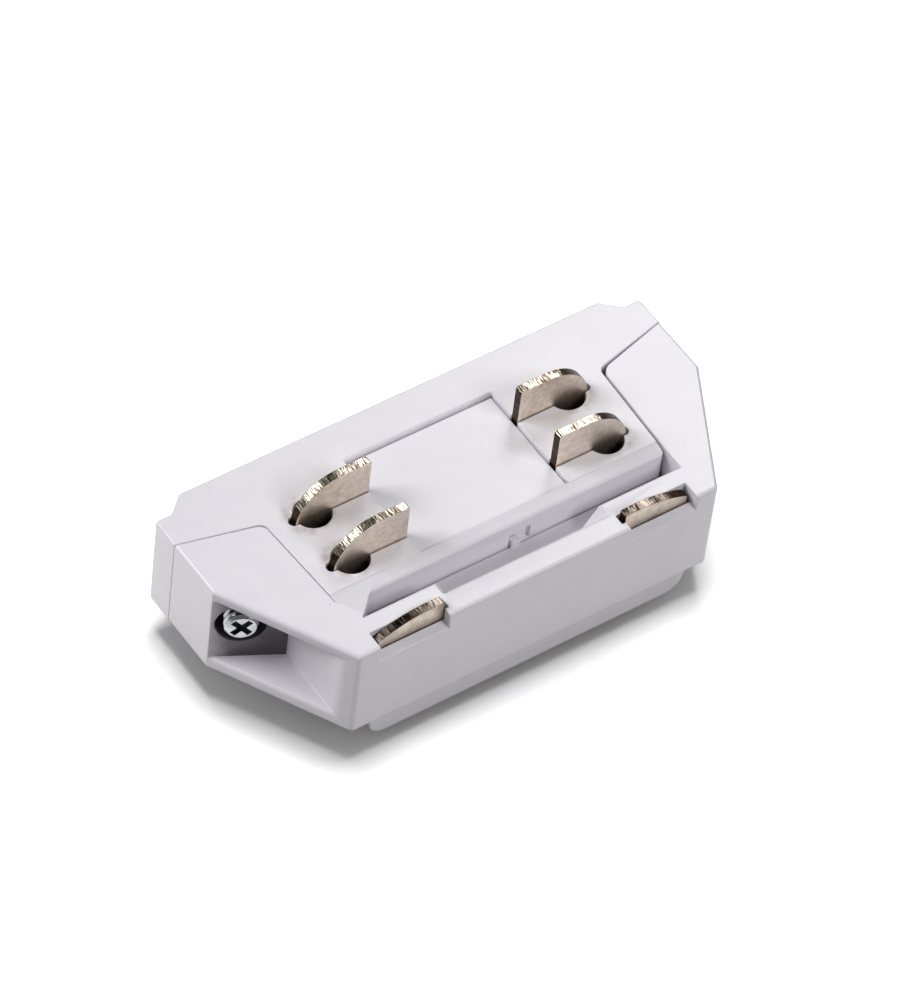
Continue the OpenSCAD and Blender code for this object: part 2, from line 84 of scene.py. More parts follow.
# Place of the earth springs and height of their seat
EARTH_SPRING_X = 17.05
EARTH_SPRING_Y = -13.425
EARTH_SEAT = 6.33
# Distance of a line spring's seat from the middle of the thickness
LINE_SEAT = 0.53
# Both kinds of spring, and how far their contacts are pressed in
LINE_SPRING = {"height": 2.31, "radius": 1.9, "wire": 0.35, "turns": 3.0, "travel": 1.2}
EARTH_SPRING = {"height": 3.74, "radius": 1.1, "wire": 0.3, "turns": 5.25, "travel": 0.8}

# Worked out from them: middle of the thickness, where the long chamfer meets the end face, and the unit
# vector that points in from that chamfer, in lengths from the end and from the corner
MIDDLE = (LEVEL_LOW + LEVEL_HIGH) / 2
CORNER_Y = HALF_DEPTH - END_DEPTH
CHAMFER_RUN = math.hypot(CHAMFER, 2 * HALF_DEPTH - END_DEPTH)
INWARD = ((2 * HALF_DEPTH - END_DEPTH) / CHAMFER_RUN, CHAMFER / CHAMFER_RUN)

# Sockets of a Mix node that mixes colours
FACTOR, COLOUR_A, COLOUR_B, MIXED = 0, 6, 7, 2
# Two places nearer than this lie in one plane
FLUSH = 0.02
# Folds sharper than this many degrees are rounded
SHARP_FOLD = 25
# Points nearer than this become one, in copies and threads, in coils, and between the turns of a thread
WELD = 0.002
COIL_WELD = 0.01
TURN_WELD = 0.001
# Points nearer than this to a cutting plane lie in it
CUT_SLACK = 0.0001
# Faces that fold less than this become one flat face
FLAT_FOLD = math.radians(0.6)
# Faces that fold less than this are shaded as one surface, on mouldings, on wire and on turned pieces
SMOOTH_MOULDING = math.radians(30)
SMOOTH_WIRE = math.radians(50)
SMOOTH_TURNED = math.radians(28)
# Faces round a wire, along one turn of a coil and along one turn of a thread
WIRE_SIDES = 10
COIL_STEPS = 20
THREAD_STEPS = 36
# Shares of its pitch that a flank of a thread takes, and a flank with the crest next to it
FLANK_SHARE = 0.36
CREST_SHARE = 0.5
# Turns that a thread has more than its length needs, for the ends that are cut off
SPARE_TURNS = 3

logging.basicConfig(level=logging.INFO, format="%(message)s")
log = logging.getLogger("connector")


class Side(Enum):
    """End of the connector, with the sign of its X."""

    LEFT = -1
    RIGHT = 1


class Face(Enum):
    """Contact face, with the sign of its Z."""

    TOP = 1
    BOTTOM = -1


class Row(Enum):
    """Row of line contacts, with its place through the depth."""

    BACK = 5.2
    FRONT = -2.6


class Cut(Enum):
    """Way to combine a piece with a tool solid, with Blender's word for it."""

    KEEP_INSIDE = "INTERSECT"
    TAKE_AWAY = "DIFFERENCE"


class Reach(Enum):
    """What a lamp lights, with Blender's word for the floor in its light linking."""

    CONNECTOR = "EXCLUDE"
    FLOOR = "INCLUDE"


def linear_colour(hex_code: str) -> tuple[float, float, float, float]:
    """Turn an sRGB hex colour into the linear values that a shader takes.

    Args:
        hex_code: Six hex digits with a leading hash sign.

    Returns:
        Red, green, blue and an alpha of 1.
    """
    channels = [int(hex_code[i : i + 2], 16) / 255 for i in (1, 3, 5)]
    bent = [c / 12.92 if c <= 0.04045 else ((c + 0.055) / 1.055) ** 2.4 for c in channels]
    return (bent[0], bent[1], bent[2], 1.0)


def add_node(tree: bpy.types.NodeTree, kind: str, settings: dict | None = None,
             inputs: dict | None = None) -> bpy.types.Node:
    """Add a shader node with its settings and links.

    Args:
        tree: Node tree that the node goes into.
        kind: Blender's name for the kind of node, such as "ShaderNodeTexNoise".
        settings: Attributes of the node itself.
        inputs: Input sockets by name or number; a value is a number, a colour or another node's output.

    Returns:
        The new node.
    """
    node = tree.nodes.new(kind)
    for name, value in (settings or {}).items():
        setattr(node, name, value)
    for name, value in (inputs or {}).items():
        if isinstance(value, bpy.types.NodeSocket):
            tree.links.new(value, node.inputs[name])
        else:
            node.inputs[name].default_value = value
    return node


def new_material(name: str) -> tuple[bpy.types.Material, bpy.types.NodeTree, bpy.types.Node]:
    """Make a material that holds a principled shader and nothing else.

    Args:
        name: Name of the material.

    Returns:
        The material, its node tree and its principled shader.
    """
    material = bpy.data.materials.new(name)
    material.use_nodes = True
    tree = material.node_tree
    return material, tree, tree.nodes["Principled BSDF"]


@dataclass(frozen=True)
class MouldedWhite:
    """White polycarbonate blend, injection moulded against a finely spark-eroded tool.

    The eye gets a soft satin gloss, a barely visible mottle from the flow of the melt, a fine grain, a few
    grey specks of dust and a thin brown ring round the mouths of the spring wells, partly contact grease and
    partly painted shade. The real grain is about 0.03 mm, too fine to show, so it is drawn at 0.3 mm.
    """

    name: str = "moulded_white"
    colour: str = "#e9e6ec"
    colour_low: str = "#dfdde4"
    roughness: float = 0.39
    ior: float = 1.58
    # Width of the flow marks, width of the grain and depth of the grain
    mottle_mm: float = 3.0
    grain_mm: float = 0.3
    bump_mm: float = 0.012
    # Each cell of this width holds one speck, up to this radius, but this share of the cells has none
    speck: str = "#a09c9c"
    speck_cell_mm: float = 2.6
    speck_mm: float = 0.09
    clean_cells: float = 0.55
    # Strength of the brown ring, part grease and part painted shade, at the rim of a well, its inner and
    # outer radius, the X of its middle, a little outside the well's, and the width of its patches
    # Brown that is part grease and part painted shade round the wells
    smear_shade: str = "#7d6858"
    smear_shade_share: float = 0.6
    smear_shade_mm: tuple = (2.2, 3.6)
    smear_shade_x: float = 18.3
    patch_width_mm: float = 1.4
    film_range: tuple = (0.32, 0.66)

    def smear_and_shade(self, tree: bpy.types.NodeTree, where: bpy.types.Node) -> bpy.types.NodeSocket:
        """Measure how strong the brown ring, part grease and part painted shade, lies round the nearest
        spring well.

        Args:
            tree: Node tree of the material.
            where: Its texture coordinates.

        Returns:
            A number that goes from 0 where there is none to its full strength at the rim.
        """
        split = add_node(tree, "ShaderNodeSeparateXYZ", None, {0: where.outputs["Object"]})
        along = add_node(tree, "ShaderNodeMath", {"operation": "ABSOLUTE"}, {0: split.outputs[0]})
        flat = add_node(tree, "ShaderNodeCombineXYZ", None, {0: along.outputs[0], 1: split.outputs[1]})
        far = [add_node(tree, "ShaderNodeVectorMath", {"operation": "DISTANCE"}, {
            0: flat.outputs[0], 1: (self.smear_shade_x * MM, row.value * MM, 0)}) for row in Row]
        nearest = add_node(tree, "ShaderNodeMath", {"operation": "MINIMUM"}, {
            0: far[0].outputs["Value"], 1: far[1].outputs["Value"]})
        ring = add_node(tree, "ShaderNodeMapRange", {"interpolation_type": "SMOOTHSTEP"}, {
            "Value": nearest.outputs[0], "From Min": self.smear_shade_mm[0] * MM,
            "From Max": self.smear_shade_mm[1] * MM, "To Min": self.smear_shade_share, "To Max": 0.0})
        patchiness = add_node(tree, "ShaderNodeTexNoise", None, {
            "Vector": where.outputs["Object"], "Scale": 1 / (self.patch_width_mm * MM), "Detail": 1.5})
        uneven = add_node(tree, "ShaderNodeMapRange", None, {
            "Value": patchiness.outputs["Fac"], "From Min": self.film_range[0], "From Max": self.film_range[1]})
        return add_node(tree, "ShaderNodeMath", {"operation": "MULTIPLY"}, {
            0: ring.outputs[0], 1: uneven.outputs[0]}).outputs[0]

    def material(self) -> bpy.types.Material:
        """Build the material.

        Returns:
            The finished material.
        """
        material, tree, shader = new_material(self.name)
        where = add_node(tree, "ShaderNodeTexCoord")
        mottle = add_node(tree, "ShaderNodeTexNoise", None, {
            "Vector": where.outputs["Object"], "Scale": 1 / (self.mottle_mm * MM), "Detail": 3.0,
            "Roughness": 0.55})
        tint = add_node(tree, "ShaderNodeMix", {"data_type": "RGBA"}, {
            FACTOR: mottle.outputs["Fac"], COLOUR_A: linear_colour(self.colour_low),
            COLOUR_B: linear_colour(self.colour)})
        cells = add_node(tree, "ShaderNodeTexVoronoi", None, {
            "Vector": where.outputs["Object"], "Scale": 1 / (self.speck_cell_mm * MM)})
        lucky = add_node(tree, "ShaderNodeSeparateXYZ", None, {0: cells.outputs["Color"]})
        size = add_node(tree, "ShaderNodeMapRange", None, {
            "Value": lucky.outputs[0], "From Min": self.clean_cells,
            "To Max": self.speck_mm / self.speck_cell_mm})
        spot = add_node(tree, "ShaderNodeMath", {"operation": "LESS_THAN"}, {
            0: cells.outputs["Distance"], 1: size.outputs[0]})
        dusty = add_node(tree, "ShaderNodeMix", {"data_type": "RGBA"}, {
            FACTOR: spot.outputs[0], COLOUR_A: tint.outputs[MIXED], COLOUR_B: linear_colour(self.speck)})
        # Brown ring round the wells: part grease stain, part painted shade
        darkened = add_node(tree, "ShaderNodeMix", {"data_type": "RGBA"}, {
            FACTOR: self.smear_and_shade(tree, where), COLOUR_A: dusty.outputs[MIXED],
            COLOUR_B: linear_colour(self.smear_shade)})
        tree.links.new(darkened.outputs[MIXED], shader.inputs["Base Color"])
        grain = add_node(tree, "ShaderNodeTexNoise", None, {
            "Vector": where.outputs["Object"], "Scale": 1 / (self.grain_mm * MM), "Detail": 2.0,
            "Roughness": 0.5})
        bump = add_node(tree, "ShaderNodeBump", None, {
            "Height": grain.outputs["Fac"], "Distance": self.bump_mm * MM, "Strength": 0.6})
        tree.links.new(bump.outputs["Normal"], shader.inputs["Normal"])
        shader.inputs["Roughness"].default_value = self.roughness
        shader.inputs["IOR"].default_value = self.ior
        return material


@dataclass(frozen=True)
class ShadedWell:
    """The same white moulding inside a spring well, with painted shade: the wall goes from off-white at the
    mouth to near black with depth.
    """

    name: str = "shaded_well"
    unshaded: str = "#b7a99f"
    # Near black that paints the shade deep in the well
    darkened: str = "#1c1511"
    roughness: float = 0.3
    ior: float = 1.48
    # Depth at which the wall is black, width of the patches in the painted shade and how far they shift that
    # depth
    depth_mm: float = 1.6
    patch_width_mm: float = 1.2
    wave_mm: float = 0.8

    def material(self) -> bpy.types.Material:
        """Build the material.

        Returns:
            The finished material.
        """
        material, tree, shader = new_material(self.name)
        where = add_node(tree, "ShaderNodeTexCoord")
        split = add_node(tree, "ShaderNodeSeparateXYZ", None, {0: where.outputs["Object"]})
        height = add_node(tree, "ShaderNodeMath", {"operation": "SUBTRACT"}, {
            0: split.outputs[2], 1: MIDDLE * MM})
        off_mid = add_node(tree, "ShaderNodeMath", {"operation": "ABSOLUTE"}, {0: height.outputs[0]})
        patchiness = add_node(tree, "ShaderNodeTexNoise", None, {
            "Vector": where.outputs["Object"], "Scale": 1 / (self.patch_width_mm * MM), "Detail": 2.0})
        wavy = add_node(tree, "ShaderNodeMath", {"operation": "MULTIPLY_ADD"}, {
            0: patchiness.outputs["Fac"], 1: self.wave_mm * MM, 2: off_mid.outputs[0]})
        mouth_mm = LEVEL_HIGH - MIDDLE + self.wave_mm / 2
        fade = add_node(tree, "ShaderNodeMapRange", None, {
            "Value": wavy.outputs[0], "From Min": (mouth_mm - self.depth_mm) * MM,
            "From Max": mouth_mm * MM})
        tint = add_node(tree, "ShaderNodeMix", {"data_type": "RGBA"}, {
            FACTOR: fade.outputs[0], COLOUR_A: linear_colour(self.darkened),
            COLOUR_B: linear_colour(self.unshaded)})
        tree.links.new(tint.outputs[MIXED], shader.inputs["Base Color"])
        shader.inputs["Roughness"].default_value = self.roughness
        shader.inputs["IOR"].default_value = self.ior
        return material


@dataclass(frozen=True)
class ShadedPocket:
    """The same white moulding round a set screw, with painted shade: dark grey on the back wall of the screw
    pocket and in the bore, fading out towards the connector's end.
    """

    name: str = "shaded_pocket"
    unshaded: str = "#e9e6ec"
    # Dark grey that paints the shade deep in the screw pocket
    pocket_shade: str = "#4f4b54"
    roughness: float = 0.35
    ior: float = 1.5
    # Depths behind the chamfer at which the painted shade begins and is full, width of its patches and their
    # shift
    start_mm: float = -0.5
    full_mm: float = 1.9
    patch_width_mm: float = 1.5
    wave_mm: float = 0.7

    def material(self) -> bpy.types.Material:
        """Build the material.

        Returns:
            The finished material.
        """
        material, tree, shader = new_material(self.name)
        where = add_node(tree, "ShaderNodeTexCoord")
        split = add_node(tree, "ShaderNodeSeparateXYZ", None, {0: where.outputs["Object"]})
        along = add_node(tree, "ShaderNodeMath", {"operation": "ABSOLUTE"}, {0: split.outputs[0]})
        from_end = add_node(tree, "ShaderNodeMath", {"operation": "SUBTRACT"}, {
            0: HALF_LENGTH * MM, 1: along.outputs[0]})
        from_corner = add_node(tree, "ShaderNodeMath", {"operation": "SUBTRACT"}, {
            0: split.outputs[1], 1: CORNER_Y * MM})
        part = add_node(tree, "ShaderNodeMath", {"operation": "MULTIPLY"}, {
            0: from_corner.outputs[0], 1: INWARD[1]})
        depth = add_node(tree, "ShaderNodeMath", {"operation": "MULTIPLY_ADD"}, {
            0: from_end.outputs[0], 1: INWARD[0], 2: part.outputs[0]})
        patchiness = add_node(tree, "ShaderNodeTexNoise", None, {
            "Vector": where.outputs["Object"], "Scale": 1 / (self.patch_width_mm * MM), "Detail": 2.0})
        uneven = add_node(tree, "ShaderNodeMath", {"operation": "MULTIPLY_ADD"}, {
            0: patchiness.outputs["Fac"], 1: self.wave_mm * MM, 2: depth.outputs[0]})
        fade = add_node(tree, "ShaderNodeMapRange", {"interpolation_type": "SMOOTHSTEP"}, {
            "Value": uneven.outputs[0], "From Min": self.start_mm * MM, "From Max": self.full_mm * MM})
        tint = add_node(tree, "ShaderNodeMix", {"data_type": "RGBA"}, {
            FACTOR: fade.outputs[0], COLOUR_A: linear_colour(self.unshaded),
            COLOUR_B: linear_colour(self.pocket_shade)})
        tree.links.new(tint.outputs[MIXED], shader.inputs["Base Color"])
        shader.inputs["Roughness"].default_value = self.roughness
        shader.inputs["IOR"].default_value = self.ior
        return material


@dataclass(frozen=True)
class RolledNickel:
    """Nickel-plated brass strip: the rolled faces.

    The eye gets a satin metal with a faint grain along the strip and pale blotches in the plating. The real
    grain is about 0.02 mm, too fine to show, so it is drawn at 0.12 mm.
    """

    name: str = "rolled_nickel"
    colour: str = "#fff6ea"
    colour_low: str = "#e0cfbd"
    roughness: float = 0.4
    smoother: float = 0.07
    rougher: float = 0.1
    # Width, stretch and depth of the rolling grain, and width of the blotches
    grain_mm: float = 0.12
    grain_stretch: float = 0.12
    bump_mm: float = 0.006
    blotch_mm: float = 0.8
    blotch_range: tuple = (0.3, 0.66)

    def material(self) -> bpy.types.Material:
        """Build the material.

        Returns:
            The finished material.
        """
        material, tree, shader = new_material(self.name)
        where = add_node(tree, "ShaderNodeTexCoord")
        blotch = add_node(tree, "ShaderNodeTexNoise", None, {
            "Vector": where.outputs["Object"], "Scale": 1 / (self.blotch_mm * MM), "Detail": 5.0,
            "Roughness": 0.7})
        mottled = add_node(tree, "ShaderNodeMapRange", None, {
            "Value": blotch.outputs["Fac"], "From Min": self.blotch_range[0],
            "From Max": self.blotch_range[1]})
        tint = add_node(tree, "ShaderNodeMix", {"data_type": "RGBA"}, {
            FACTOR: mottled.outputs[0], COLOUR_A: linear_colour(self.colour_low),
            COLOUR_B: linear_colour(self.colour)})
        tree.links.new(tint.outputs[MIXED], shader.inputs["Base Color"])
        along = add_node(tree, "ShaderNodeMapping", None, {
            "Vector": where.outputs["Object"], "Scale": (self.grain_stretch, 1.0, 1.0)})
        grain = add_node(tree, "ShaderNodeTexNoise", None, {
            "Vector": along.outputs[0], "Scale": 1 / (self.grain_mm * MM), "Detail": 2.0})
        rough = add_node(tree, "ShaderNodeMapRange", None, {
            "Value": grain.outputs["Fac"], "To Min": self.roughness - self.smoother,
            "To Max": self.roughness + self.rougher})
        tree.links.new(rough.outputs[0], shader.inputs["Roughness"])
        bump = add_node(tree, "ShaderNodeBump", None, {
            "Height": grain.outputs["Fac"], "Distance": self.bump_mm * MM, "Strength": 0.5})
        tree.links.new(bump.outputs["Normal"], shader.inputs["Normal"])
        shader.inputs["Metallic"].default_value = 1.0
        return material


@dataclass(frozen=True)
class ShearedNickel:
    """Nickel-plated brass strip: the edges that the press sheared.

    The eye gets fine scores, 0.1 to 0.2 mm apart, that run through the thickness of the strip. They are dark
    in their grooves, where the plating is thin, and bright on their ridges, and they thin out in patches.
    """

    name: str = "sheared_nickel"
    bright: str = "#b6ac9e"
    dark: str = "#33291f"
    roughness: float = 0.22
    # Spacing, stretch and depth of the scores, and width and weight of their patches
    score_mm: float = 0.17
    score_stretch: float = 0.16
    bump_mm: float = 0.05
    patch_mm: float = 1.6
    patch_share: float = 0.55
    score_range: tuple = (0.65, 0.9)

    def material(self) -> bpy.types.Material:
        """Build the material.

        Returns:
            The finished material.
        """
        material, tree, shader = new_material(self.name)
        where = add_node(tree, "ShaderNodeTexCoord")
        across = add_node(tree, "ShaderNodeMapping", None, {
            "Vector": where.outputs["Object"], "Scale": (1.0, self.score_stretch, 1.0)})
        scores = add_node(tree, "ShaderNodeTexNoise", None, {
            "Vector": across.outputs[0], "Scale": 1 / (self.score_mm * MM), "Detail": 1.5, "Roughness": 0.6})
        patches = add_node(tree, "ShaderNodeTexNoise", None, {
            "Vector": across.outputs[0], "Scale": 1 / (self.patch_mm * MM), "Detail": 1.0})
        both = add_node(tree, "ShaderNodeMath", {"operation": "MULTIPLY_ADD"}, {
            0: patches.outputs["Fac"], 1: self.patch_share, 2: scores.outputs["Fac"]})
        sharp = add_node(tree, "ShaderNodeMapRange", None, {
            "Value": both.outputs[0], "From Min": self.score_range[0], "From Max": self.score_range[1]})
        tint = add_node(tree, "ShaderNodeMix", {"data_type": "RGBA"}, {
            FACTOR: sharp.outputs[0], COLOUR_A: linear_colour(self.dark),
            COLOUR_B: linear_colour(self.bright)})
        tree.links.new(tint.outputs[MIXED], shader.inputs["Base Color"])
        bump = add_node(tree, "ShaderNodeBump", None, {
            "Height": scores.outputs["Fac"], "Distance": self.bump_mm * MM, "Strength": 0.8})
        tree.links.new(bump.outputs["Normal"], shader.inputs["Normal"])
        shader.inputs["Metallic"].default_value = 1.0
        shader.inputs["Roughness"].default_value = self.roughness
        return material


@dataclass(frozen=True)
class TurnedSteel:
    """Zinc-plated steel, turned or drawn: bright, with duller and rougher patches in the plating."""

    name: str = "turned_steel"
    colour: str = "#d2d3d6"
    colour_low: str = "#9da0a6"
    roughness: float = 0.2
    smoother: float = 0.06
    rougher: float = 0.12
    # Width of the patches in the plating
    patch_mm: float = 0.9

    def material(self) -> bpy.types.Material:
        """Build the material.

        Returns:
            The finished material.
        """
        material, tree, shader = new_material(self.name)
        where = add_node(tree, "ShaderNodeTexCoord")
        patches = add_node(tree, "ShaderNodeTexNoise", None, {
            "Vector": where.outputs["Object"], "Scale": 1 / (self.patch_mm * MM), "Detail": 4.0,
            "Roughness": 0.6})
        tint = add_node(tree, "ShaderNodeMix", {"data_type": "RGBA"}, {
            FACTOR: patches.outputs["Fac"], COLOUR_A: linear_colour(self.colour_low),
            COLOUR_B: linear_colour(self.colour)})
        tree.links.new(tint.outputs[MIXED], shader.inputs["Base Color"])
        rough = add_node(tree, "ShaderNodeMapRange", None, {
            "Value": patches.outputs["Fac"], "To Min": self.roughness + self.rougher,
            "To Max": self.roughness - self.smoother})
        tree.links.new(rough.outputs[0], shader.inputs["Roughness"])
        shader.inputs["Metallic"].default_value = 1.0
        return material


def deselect_all() -> None:
    """Leave edit mode and deselect every object."""
    if bpy.context.object and bpy.context.object.mode != "OBJECT":
        bpy.ops.object.mode_set(mode="OBJECT")
    bpy.ops.object.select_all(action="DESELECT")


def take(piece: bpy.types.Object) -> bpy.types.Object:
    """Select one object alone and make it active.

    Args:
        piece: The object.

    Returns:
        The same object.
    """
    deselect_all()
    piece.select_set(True)
    bpy.context.view_layer.objects.active = piece
    return piece


def apply_modifiers(piece: bpy.types.Object) -> None:
    """Apply every modifier of a piece in order.

    Args:
        piece: The piece.
    """
    take(piece)
    for modifier in list(piece.modifiers):
        bpy.ops.object.modifier_apply(modifier=modifier.name)


def place(piece: bpy.types.Object, turn: Matrix) -> None:
    """Move a piece into place and put that place in its mesh.

    Args:
        piece: The piece, modelled about the origin.
        turn: Where it goes.
    """
    take(piece)
    piece.matrix_world = turn
    bpy.ops.object.transform_apply(location=True, rotation=True, scale=True)


def merged_copy(node: str, name: str) -> bpy.types.Object:
    """Copy a CAD node, join its loose triangles and drop the edges inside its flat faces.

    Args:
        node: Name of the CAD node.
        name: Name of the new piece.

    Returns:
        The new piece, with no finish yet.
    """
    piece = bpy.data.objects.new(name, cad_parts[node].data.copy())
    bpy.context.scene.collection.objects.link(piece)
    take(piece)
    bpy.ops.object.mode_set(mode="EDIT")
    bpy.ops.mesh.select_all(action="SELECT")
    bpy.ops.mesh.remove_doubles(threshold=WELD * MM)
    bpy.ops.mesh.dissolve_limited(angle_limit=FLAT_FOLD)
    bpy.ops.object.mode_set(mode="OBJECT")
    piece.data.materials.clear()
    return piece


def fold_angles(mesh: bpy.types.Mesh) -> dict[tuple[int, int], float]:
    """Measure the angle between the two faces at each edge.

    Args:
        mesh: Mesh to measure.

    Returns:
        The angle in degrees by the edge's two vertex numbers.
    """
    sides: dict[tuple[int, int], list[Vector]] = {}
    for face in mesh.polygons:
        for key in face.edge_keys:
            sides.setdefault(key, []).append(face.normal)
    return {key: math.degrees(two[0].angle(two[1], 0)) for key, two in sides.items() if len(two) == 2}


def round_edges(piece: bpy.types.Object, radius: Callable[[Vector, Vector], float],
                segments: int = 3) -> None:
    """Round the sharp edges of a piece, each by its own radius.

    Args:
        piece: The piece.
        radius: Gives an edge's radius in millimetres from the places of its two ends.
        segments: Number of faces across each rounding.
    """
    mesh = piece.data
    angles = fold_angles(mesh)
    wanted = []
    for edge in mesh.edges:
        ends = [mesh.vertices[i].co / MM for i in edge.vertices]
        wanted.append(radius(*ends) if angles.get(edge.key, 0) > SHARP_FOLD else 0.0)
    widest = max(wanted)
    weights = mesh.attributes.new("bevel_weight_edge", "FLOAT", "EDGE")
    weights.data.foreach_set("value", [r / widest for r in wanted])
    take(piece)
    bpy.ops.object.shade_smooth_by_angle(angle=SMOOTH_MOULDING)
    rounding = piece.modifiers.new("rounding", "BEVEL")
    rounding.limit_method = "WEIGHT"
    rounding.offset_type = "OFFSET"
    rounding.width = widest * MM
    rounding.segments = segments
    rounding.use_clamp_overlap = False
    rounding.harden_normals = True
    rounding.miter_outer = "MITER_ARC"
    apply_modifiers(piece)


def distance_to_outline(x: float, y: float, outline: tuple) -> float:
    """Measure how far a point lies from a closed outline.

    Args:
        x: First coordinate of the point.
        y: Its second coordinate.
        outline: Corners of the outline, in order.

    Returns:
        The distance to the nearest side.
    """
    here = Vector((x, y))
    nearest = math.inf
    for i, corner in enumerate(outline):
        start, end = Vector(outline[i - 1]), Vector(corner)
        run = end - start
        share = min(max((here - start).dot(run) / run.length_squared, 0.0), 1.0)
        nearest = min(nearest, (start + share * run - here).length)
    return nearest


@dataclass
class Housing:
    """The white mouldings: contact block, front shell, two covers and key rail, with softly rounded edges.

    A name in round is the radius of a kind of edge. That kind is known by its place, and a name in reach is
    how far off that place an edge may lie. A name in depth is a distance below the contact face.
    """

    rim_round: float = 0.3
    shell_rim_round: float = 0.5
    lip_round: float = 0.2
    inner_round: float = 0.1
    thin_round: float = 0.04
    seam_round: float = 0.05
    step_round: float = 0.02
    mouth_round: float = 0.4
    pillar_round: float = 0.6
    # Softer edges along the length, as Y and radius: the block's front wall, the front rail beside the earth
    # horns and between them, and the back of the recess for the centre cover
    soft_lines: tuple = ((-7.7, 0.45), (-10.4, 0.35), (-12.1, 0.45), (9.8, 0.4))
    # Seam on the end faces, and low step in front of the centre cover
    seam_y: float = 9.1
    step_y: float = -5.8
    cover_round: float = 0.16
    rail_round: float = 0.3
    corner_reach: float = 0.3
    seam_reach: float = 0.2
    step_reach: float = 0.15
    step_depth: float = 0.1
    line_reach: float = 0.03
    line_depth: float = 0.5
    mouth_reach: float = 0.05
    mouth_depth: float = 1.0
    upright_from: float = 1.0
    outline_reach: float = 0.36
    # The step and the small chamfer at each end of the back edge
    tab_step: float = 2.1
    tab_length: float = 2.3
    tab_chamfer: float = 2.3
    # Where the walls of the wells and the screw pockets begin, as depth, heights, X and Y
    wall_slack: float = 0.12
    well_depth: float = 0.3
    pocket_floor: float = 6.9
    pocket_roof: float = 17.2
    pocket_from_x: float = 25.8
    pocket_to_y: float = 4.6

    @property
    def outline(self) -> tuple:
        """Outline of block and shell together, seen from above.

        Returns:
            Its corners in order.
        """
        tab_x = HALF_LENGTH - self.tab_length
        tab_y = HALF_DEPTH - self.tab_step
        right = [(HALF_LENGTH - CHAMFER, -HALF_DEPTH), (HALF_LENGTH, CORNER_Y), (HALF_LENGTH, tab_y),
                 (tab_x, tab_y), (tab_x - self.tab_chamfer, HALF_DEPTH)]
        return tuple(right + [(-x, y) for x, y in reversed(right)])

    def inset(self, point: Vector) -> float:
        """Measure how far a point lies behind the plane of the long chamfer at its end."""
        return INWARD[0] * (HALF_LENGTH - abs(point.x)) + INWARD[1] * (point.y - CORNER_Y)

    def shell_radius(self, one: Vector, other: Vector) -> float:
        """Choose the rounding of an edge of the front shell, whose outer rim is softer than the block's."""
        radius = self.body_radius(one, other)
        return self.shell_rim_round if radius == self.rim_round else radius

    def body_radius(self, one: Vector, other: Vector) -> float:
        """Choose the rounding of an edge of block or shell.

        Args:
            one: One end of the edge.
            other: The other end.

        Returns:
            Its radius.
        """
        ends = (one, other)
        if all(math.hypot(abs(p.x) - HALF_LENGTH, p.y - CORNER_Y) < self.corner_reach for p in ends):
            return self.thin_round
        at_end = all(abs(abs(p.x) - HALF_LENGTH) < FLUSH for p in ends)
        if at_end and all(abs(p.y - self.seam_y) < self.seam_reach for p in ends):
            return self.seam_round
        depths = [min(p.z - LEVEL_LOW, LEVEL_HIGH - p.z) for p in ends]
        if max(depths) < self.step_depth and all(abs(p.y - self.step_y) < self.step_reach for p in ends):
            return self.step_round
        if max(depths) < self.line_depth:
            for line_y, soft in self.soft_lines:
                if all(abs(p.y - line_y) < self.line_reach for p in ends):
                    return soft
        if min(depths) > self.mouth_depth and all(abs(self.inset(p)) < self.mouth_reach for p in ends):
            return self.pillar_round if abs(one.z - other.z) > self.upright_from else self.mouth_round
        outer = all(distance_to_outline(p.x, p.y, self.outline) < self.outline_reach for p in ends)
        if outer and max(depths) < FLUSH:
            return self.rim_round
        return self.lip_round if outer else self.inner_round

    def in_well(self, face: bpy.types.MeshPolygon) -> bool:
        """Tell whether a face is part of the wall or floor of a spring well.

        Args:
            face: The face.

        Returns:
            True if it is.
        """
        at = face.center / MM
        reach = WELL_RADIUS + self.wall_slack
        near = any(math.hypot(abs(at.x) - WELL_X, at.y - row.value) < reach for row in Row)
        return near and LEVEL_LOW + self.well_depth < at.z < LEVEL_HIGH - self.well_depth

    def in_pocket(self, face: bpy.types.MeshPolygon) -> bool:
        """Tell whether a face is the back wall of a screw pocket or part of the bore behind it.

        Args:
            face: The face.

        Returns:
            True if it is.
        """
        at = face.center / MM
        level = self.pocket_floor < at.z < self.pocket_roof
        from_corner = Vector((HALF_LENGTH - abs(at.x), at.y - CORNER_Y))
        along_screw = from_corner.dot(Vector((math.sin(SCREW_ANGLE), math.cos(SCREW_ANGLE))))
        behind = along_screw > -self.wall_slack
        inside = self.inset(at) > self.wall_slack
        return level and behind and inside and abs(at.x) > self.pocket_from_x and at.y < self.pocket_to_y

    def build(self, white: bpy.types.Material, grey: bpy.types.Material, well: bpy.types.Material,
              pocket: bpy.types.Material) -> None:
        """Build and dress the five mouldings.

        Args:
            white: Finish of the mouldings.
            grey: Finish of the key rail, a greyer white that paints the shade under the front face's
                overhang.
            well: Finish of the spring wells' walls, with painted shade.
            pocket: Finish of the screw pockets' walls, with painted shade.
        """
        choices = {
            "contact_block": self.body_radius,
            "front_shell": self.shell_radius,
            "top_cover": lambda one, other: self.cover_round,
            "bottom_cover": lambda one, other: self.cover_round,
            "key_rail": lambda one, other: self.rail_round,
        }
        inner = {"contact_block": (well, self.in_well), "front_shell": (pocket, self.in_pocket)}
        for node, radius in choices.items():
            piece = merged_copy(node, node + "_moulding")
            # The key rail's greyer finish paints the shade under the front face's overhang
            piece.data.materials.append(grey if node == "key_rail" else white)
            if node in inner:
                finish, is_inner = inner[node]
                piece.data.materials.append(finish)
                for face in piece.data.polygons:
                    face.material_index = int(is_inner(face))
            round_edges(piece, radius)
            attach(piece, "housing")
            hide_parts(node)
            log.info("%s: %d faces", piece.name, len(piece.data.polygons))


